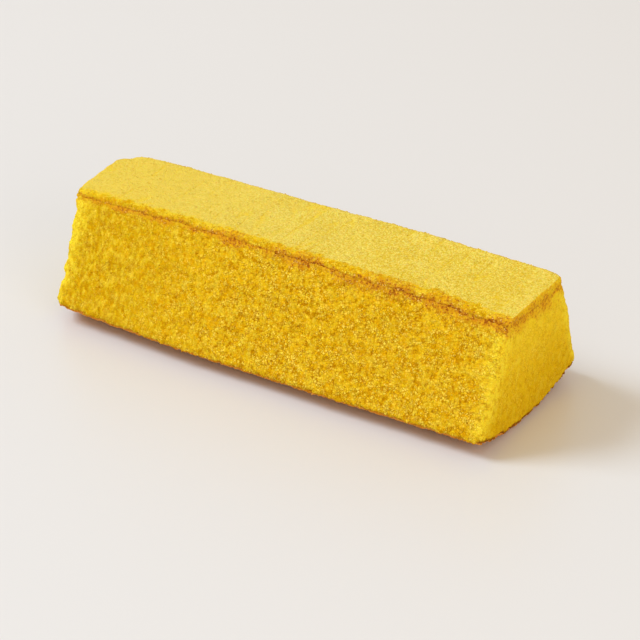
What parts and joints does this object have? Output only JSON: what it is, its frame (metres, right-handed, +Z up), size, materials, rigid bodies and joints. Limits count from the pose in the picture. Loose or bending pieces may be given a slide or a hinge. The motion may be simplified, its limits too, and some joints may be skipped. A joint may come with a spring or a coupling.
{
  "type": "baumkuchen",
  "caption": "Stick of spit cake: a long wedge of golden crumb that lies on its rounded outer side, under a thin smooth top layer.",
  "frame": {"origin": "middle of the footprint, at the level that the stick rests on", "axes": "+X along the stick, +Y towards its back long side, +Z up out of the top layer"},
  "size_m": [0.1542, 0.0588, 0.0413],
  "materials": {
    "crumb": "matt, open golden crumb",
    "top_layer": "matt, smooth pale yellow cake skin"
  },
  "bodies": {
    "root": {"crumb_body": "crumb", "top_layer": "top_layer"}
  },
  "joints": []
}
